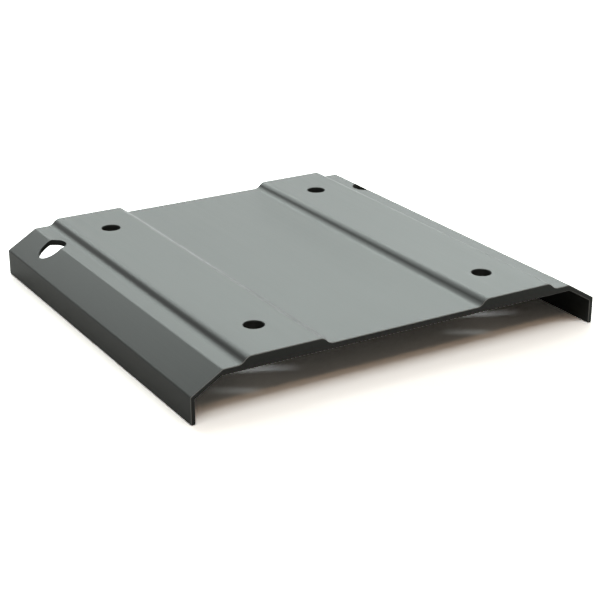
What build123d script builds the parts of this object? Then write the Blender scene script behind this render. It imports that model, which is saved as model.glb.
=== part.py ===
from build123d import *
from math import atan2, cos, degrees, radians, sin, tan
import os

# ECU mounting bracket: one length of aluminium extrusion, cut off, drilled and anodised.
# X runs across the section, Y along the extrusion and Z up. The origin is on the ground,
# under the middle of the bracket. All sizes are in millimetres.

# Length of the cut piece
length = 144.0

# Walls
deck_wall = 2.0
side_wall = 1.5

# Heights, counted up from the feet: flange, shoulder, pad strip
flange_height = 9.0
shoulder_drop = 6.45
pad_rise = 2.2

# Widths, counted out from the middle of a pad strip. A strip is measured between the middles
# of its two slopes, and the lip from there to the shoulder's fold.
pad_spacing = 86.2
pad_width = 28.0
lip_width = 7.2
shoulder_width = 10.7
pad_slope = 45.0

# Rounded corners of the section
step_radius = 3.2
shoulder_radius = 1.5
flange_radius = 0.7
inside_radius = 0.5
foot_radius = 0.4

# Mounting holes, one near each end of each pad strip
mounting_hole_diameter = 6.6
mounting_hole_spacing = 104.5

# Access holes, straight down through the shoulders beside the rear mounting holes
access_hole_diameter = 10.0
access_hole_offset = 1.45

# Deburred edges of the saw cuts and the mounting holes
edge_break = 0.2

# Where the section's corners lie
deck_height = flange_height + shoulder_drop
pad_height = deck_height + pad_rise
underside_height = deck_height - deck_wall
slope_run = pad_rise / tan(radians(pad_slope))
inner_slope = pad_spacing / 2 - pad_width / 2
outer_slope = pad_spacing / 2 + pad_width / 2
fold = outer_slope + lip_width
side = fold + shoulder_width

# The shoulder's inner face runs parallel to its outer one
shoulder_angle = atan2(shoulder_drop, shoulder_width)
shoulder_depth = side_wall / cos(shoulder_angle)
inside_fold = fold + (deck_wall - shoulder_depth) / tan(shoulder_angle)
inside_flange_height = flange_height - shoulder_depth + side_wall * tan(shoulder_angle)

# Two roundings share each slope, and two share each foot
slope_length = pad_rise / sin(radians(pad_slope))
step_fillet = min(step_radius, 0.45 * slope_length / tan(radians(pad_slope) / 2))
foot_fillet = min(foot_radius, 0.45 * side_wall)

os.makedirs("parts", exist_ok=True)

with BuildPart() as bracket:
    # The section's right half, from the middle of the deck out over the pad strip and down to
    # the foot, then back along the inside
    with BuildSketch(Plane.XZ) as section:
        with BuildLine() as outline:
            skin = FilletPolyline(
                (0, deck_height),
                (inner_slope - slope_run / 2, deck_height),
                (inner_slope + slope_run / 2, pad_height),
                (outer_slope - slope_run / 2, pad_height),
                (outer_slope + slope_run / 2, deck_height),
                (fold, deck_height),
                (side, flange_height),
                (side, 0),
                (side - side_wall, 0),
                (side - side_wall, inside_flange_height),
                (inside_fold, underside_height),
                (0, underside_height),
                radius=[
                    step_fillet,
                    step_fillet,
                    step_fillet,
                    step_fillet,
                    shoulder_radius,
                    flange_radius,
                    foot_fillet,
                    foot_fillet,
                    inside_radius,
                    inside_radius,
                ],
            )
            Line(skin @ 1, skin @ 0)
        make_face()
        mirror(about=Plane.YZ)
    extrude(amount=length / 2, both=True)

    # Saw cuts, deburred all round
    ends = bracket.faces().filter_by(Axis.Y)
    chamfer(ends.edges(), length=edge_break)

    # Mounting holes down through the solid pad strips, deburred at both mouths
    for mouth in (Plane.XY.offset(pad_height), Plane((0, 0, underside_height), z_dir=(0, 0, -1))):
        with Locations(mouth):
            with GridLocations(pad_spacing, mounting_hole_spacing, 2, 2):
                CounterSinkHole(
                    radius=mounting_hole_diameter / 2,
                    counter_sink_radius=mounting_hole_diameter / 2 + edge_break,
                    depth=pad_height - underside_height,
                    counter_sink_angle=90,
                )

    # Access holes, which cut the fold between lip and shoulder
    access_hole = fold + access_hole_offset
    with Locations(
        (-access_hole, mounting_hole_spacing / 2, deck_height),
        (access_hole, mounting_hole_spacing / 2, deck_height),
    ):
        Hole(radius=access_hole_diameter / 2, depth=deck_height)

bracket.part.label = "bracket"
export_step(bracket.part, "parts/bracket.step")

size = bracket.part.bounding_box().size
print(f"width {size.X:.2f}, length {size.Y:.2f}, height {size.Z:.2f}")
print(f"shoulder angle {degrees(shoulder_angle):.1f} degrees")
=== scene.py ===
from math import cos, pi, radians, sin, tan

import bpy
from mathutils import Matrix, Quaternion, Vector


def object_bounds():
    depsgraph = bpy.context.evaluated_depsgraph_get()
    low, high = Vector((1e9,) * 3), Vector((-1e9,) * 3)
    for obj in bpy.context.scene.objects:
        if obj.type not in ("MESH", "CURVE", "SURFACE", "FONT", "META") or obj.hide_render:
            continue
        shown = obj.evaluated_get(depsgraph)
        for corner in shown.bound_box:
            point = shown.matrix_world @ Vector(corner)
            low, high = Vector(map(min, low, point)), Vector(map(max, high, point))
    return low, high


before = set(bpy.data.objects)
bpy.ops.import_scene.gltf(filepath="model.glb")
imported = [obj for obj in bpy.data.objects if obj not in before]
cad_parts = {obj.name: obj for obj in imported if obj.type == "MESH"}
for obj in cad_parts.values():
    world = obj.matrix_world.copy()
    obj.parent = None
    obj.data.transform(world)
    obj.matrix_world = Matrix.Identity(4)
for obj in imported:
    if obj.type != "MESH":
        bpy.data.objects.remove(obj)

# Lengths are in metres and in the CAD's own frame: X across the section, Y along the
# extrusion, Z up from the feet of the flanges.
cad_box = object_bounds()


# Node helpers
def node(tree, kind, inputs=(), **settings):
    n = tree.nodes.new(kind)
    for name, value in settings.items():
        setattr(n, name, value)
    for name, value in dict(inputs).items():
        n.inputs[name].default_value = value
    return n


def calc(tree, operation, a, b=0.0):
    n = node(tree, "ShaderNodeMath", operation=operation)
    for socket, value in zip(n.inputs, (a, b)):
        if hasattr(value, "links"):
            tree.links.new(value, socket)
        else:
            socket.default_value = value
    return n.outputs[0]


def spread(tree, value, low, high):
    """A 0 to 1 value spread from low to high."""
    n = node(tree, "ShaderNodeMapRange", {"To Min": low, "To Max": high})
    tree.links.new(value, n.inputs["Value"])
    return n.outputs["Result"]


def blend(tree, a, b, share):
    """Two values added, the first one taken by its share."""
    return calc(tree, "ADD", calc(tree, "MULTIPLY", a, share), calc(tree, "MULTIPLY", b, 1 - share))


def grain(tree, place, scale, detail):
    """Noise, with its own scale along each axis."""
    mapping = node(tree, "ShaderNodeMapping", {"Scale": scale})
    tree.links.new(place, mapping.inputs["Vector"])
    noise = node(tree, "ShaderNodeTexNoise", {"Scale": 1.0, "Detail": detail, "Roughness": 0.5})
    tree.links.new(mapping.outputs["Vector"], noise.inputs["Vector"])
    return noise.outputs["Fac"]


def size_along_y(tree, vector):
    """How large a vector's Y part is, whatever its sign."""
    parts = node(tree, "ShaderNodeSeparateXYZ")
    tree.links.new(vector, parts.inputs["Vector"])
    return calc(tree, "ABSOLUTE", parts.outputs["Y"])


def mirrored_or_through(tree, rays):
    """1 for a ray that comes from a mirroring or a clear surface."""
    return calc(tree, "ADD", rays["Is Glossy Ray"], rays["Is Transmission Ray"])


# Satin anodised aluminium, with both ends cut and deburred
cut_end = cad_box[1][1]
deburred_width = 0.00022
coat_dark = (0.021, 0.0235, 0.022, 1)
coat_light = (0.031, 0.034, 0.032, 1)
# Painted highlight: a paler coat colour for the deburred edges of the cuts
coat_painted_highlight = (0.16, 0.162, 0.158, 1)


def anodised():
    material = bpy.data.materials.new("anodised_aluminium")
    material.use_nodes = True
    tree = material.node_tree
    link = tree.links.new
    shader = tree.nodes["Principled BSDF"]
    shader.inputs["Metallic"].default_value = 0.0
    shader.inputs["IOR"].default_value = 1.27

    place = node(tree, "ShaderNodeTexCoord").outputs["Object"]
    # The die draws faint lines along the extrusion
    die_lines = grain(tree, place, (1400, 9, 1400), 4)
    # The etch before anodising leaves a fine frosted grain
    frost = grain(tree, place, (5200, 5200, 5200), 3)
    # Broad, weak clouds in the colour
    clouds = grain(tree, place, (22, 12, 22), 3)

    ramp = node(tree, "ShaderNodeValToRGB")
    dark, light = ramp.color_ramp.elements
    dark.position, dark.color = 0.3, coat_dark
    light.position, light.color = 0.7, coat_light
    link(blend(tree, die_lines, clouds, 0.4), ramp.inputs["Fac"])

    # The coat is painted paler along the deburred edges of the two saw cuts: a painted highlight for the
    # light that these narrow chamfers catch
    normal = node(tree, "ShaderNodeNewGeometry").outputs["True Normal"]
    at_the_end = calc(tree, "GREATER_THAN", size_along_y(tree, place), cut_end - deburred_width)
    slanted = calc(tree, "LESS_THAN", size_along_y(tree, normal), 0.9)
    coat_with_highlight = node(tree, "ShaderNodeMix", data_type="RGBA")
    ramp_in, highlight_in = (i for i in coat_with_highlight.inputs if i.type == "RGBA")
    link(calc(tree, "MULTIPLY", at_the_end, slanted), coat_with_highlight.inputs["Factor"])
    link(ramp.outputs["Color"], ramp_in)
    highlight_in.default_value = coat_painted_highlight
    link(next(o for o in coat_with_highlight.outputs if o.type == "RGBA"), shader.inputs["Base Color"])

    link(spread(tree, blend(tree, die_lines, frost, 0.5), 0.32, 0.48), shader.inputs["Roughness"])

    bump = node(tree, "ShaderNodeBump", {"Strength": 0.35, "Distance": 0.00002})
    link(blend(tree, die_lines, frost, 0.6), bump.inputs["Height"])
    link(bump.outputs["Normal"], shader.inputs["Normal"])
    return material


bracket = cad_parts["bracket"]
bracket.data.materials.clear()
bracket.data.materials.append(anodised())


# Floor, pale, and overexposed to white where it is seen
floor_tone = 0.7
mirrored_gain = 0.1
seen_gain = 1.4
floor_half = 4.0


def pale_floor():
    material = bpy.data.materials.new("pale_floor")
    material.use_nodes = True
    tree = material.node_tree
    shader = tree.nodes["Principled BSDF"]
    shader.inputs["Roughness"].default_value = 1.0
    shader.inputs["Specular IOR Level"].default_value = 0.0
    rays = node(tree, "ShaderNodeLightPath").outputs
    mirrored = calc(tree, "MULTIPLY", mirrored_or_through(tree, rays), mirrored_gain)
    seen = calc(tree, "MULTIPLY", rays["Is Camera Ray"], seen_gain)
    tone = calc(tree, "ADD", calc(tree, "ADD", floor_tone, mirrored), seen)
    tree.links.new(tone, shader.inputs["Base Color"])
    return material


floor_mesh = bpy.data.meshes.new("floor")
corners = [(x * floor_half, y * floor_half, 0) for x, y in ((-1, -1), (1, -1), (1, 1), (-1, 1))]
floor_mesh.from_pydata(corners, [], [(0, 1, 2, 3)])
floor = bpy.data.objects.new("floor", floor_mesh)
bpy.context.scene.collection.objects.link(floor)
floor.data.materials.append(pale_floor())


def surroundings():
    """White where they are seen or mirrored, and a weak warm fill for the rest."""
    world = bpy.data.worlds.new("surroundings")
    world.use_nodes = True
    tree = world.node_tree
    link = tree.links.new
    rays = node(tree, "ShaderNodeLightPath").outputs
    backdrop = node(tree, "ShaderNodeBackground", {"Color": (1, 1, 1, 1), "Strength": 1.0})
    fill = node(tree, "ShaderNodeBackground", {"Color": (1.0, 0.87, 0.72, 1), "Strength": 0.15})
    either = node(tree, "ShaderNodeMixShader")
    link(calc(tree, "ADD", rays["Is Camera Ray"], mirrored_or_through(tree, rays)), either.inputs["Fac"])
    link(fill.outputs[0], either.inputs[1])
    link(backdrop.outputs[0], either.inputs[2])
    link(either.outputs[0], tree.nodes["World Output"].inputs["Surface"])
    return world


bpy.context.scene.world = surroundings()


def aim(o, towards, turn):
    """Turns an object's Z axis towards a direction, and then the object about it."""
    o.rotation_euler = (towards.to_track_quat("Z", "Y") @ Quaternion((0, 0, 1), turn)).to_euler()


# Lamps: strips of light, each set by the direction it comes from and the angles it spans
lamp_distance = 1.6


def strip(name, azimuth, elevation, wide, high, turn, radiance, colour):
    """A strip lamp. All its angles are in degrees."""
    a, e = radians(azimuth), radians(elevation)
    towards = Vector((sin(a) * cos(e), cos(a) * cos(e), sin(e)))
    lamp = bpy.data.lights.new(name, "AREA")
    lamp.shape = "RECTANGLE"
    lamp.size = 2 * lamp_distance * tan(radians(wide / 2))
    lamp.size_y = 2 * lamp_distance * tan(radians(high / 2))
    # An area lamp sends its power over a half space: radiance = power / (pi * area)
    lamp.energy = radiance * pi * lamp.size * lamp.size_y
    lamp.color = colour
    o = bpy.data.objects.new(name, lamp)
    bpy.context.scene.collection.objects.link(o)
    o.location = towards * lamp_distance
    aim(o, towards, radians(turn))
    o.visible_camera = False


# Behind the bracket: the strip that its tops mirror, and the one that draws the thin lines
strip("back_strip", 22, 32, 57, 12, 5, 13.6, (0.9, 1.0, 0.96))
strip("low_strip", 38, 2.5, 56, 4, 0, 7.5, (0.93, 1.0, 0.97))
# Above and beside it: the light that falls through the front holes
strip("overhead_strip", -129, 64, 56, 5, 25, 7.5, (0.94, 0.99, 1.0))
strip("side_lamp", 62, 57, 40, 8, 27, 4.0, (0.94, 1.0, 0.98))
# In front of it: the edge of the shadow, warm where it begins
strip("front_lamp", 180, 60, 60, 7, 0, 2.7, (0.98, 0.98, 0.96))
strip("warm_lamp", 180, 50, 60, 5, 0, 2.4, (1.0, 0.68, 0.45))

# Camera, at the photograph's viewing angle
azimuth, elevation, roll = radians(-30.911), radians(21.854), radians(-0.059)
camera_target = Vector((0.00179, -0.00457, 0))
camera_distance = 0.52285
back = Vector((sin(azimuth) * cos(elevation), -cos(azimuth) * cos(elevation), sin(elevation)))
camera = bpy.data.objects.new("camera", bpy.data.cameras.new("camera"))
bpy.context.scene.collection.objects.link(camera)
camera.location = camera_target + back * camera_distance
aim(camera, back, roll)
camera.data.sensor_width = 36.0
camera.data.lens = 90.43
camera.data.clip_start = 0.01
bpy.context.scene.camera = camera

bpy.context.scene.view_settings.view_transform = "Standard"
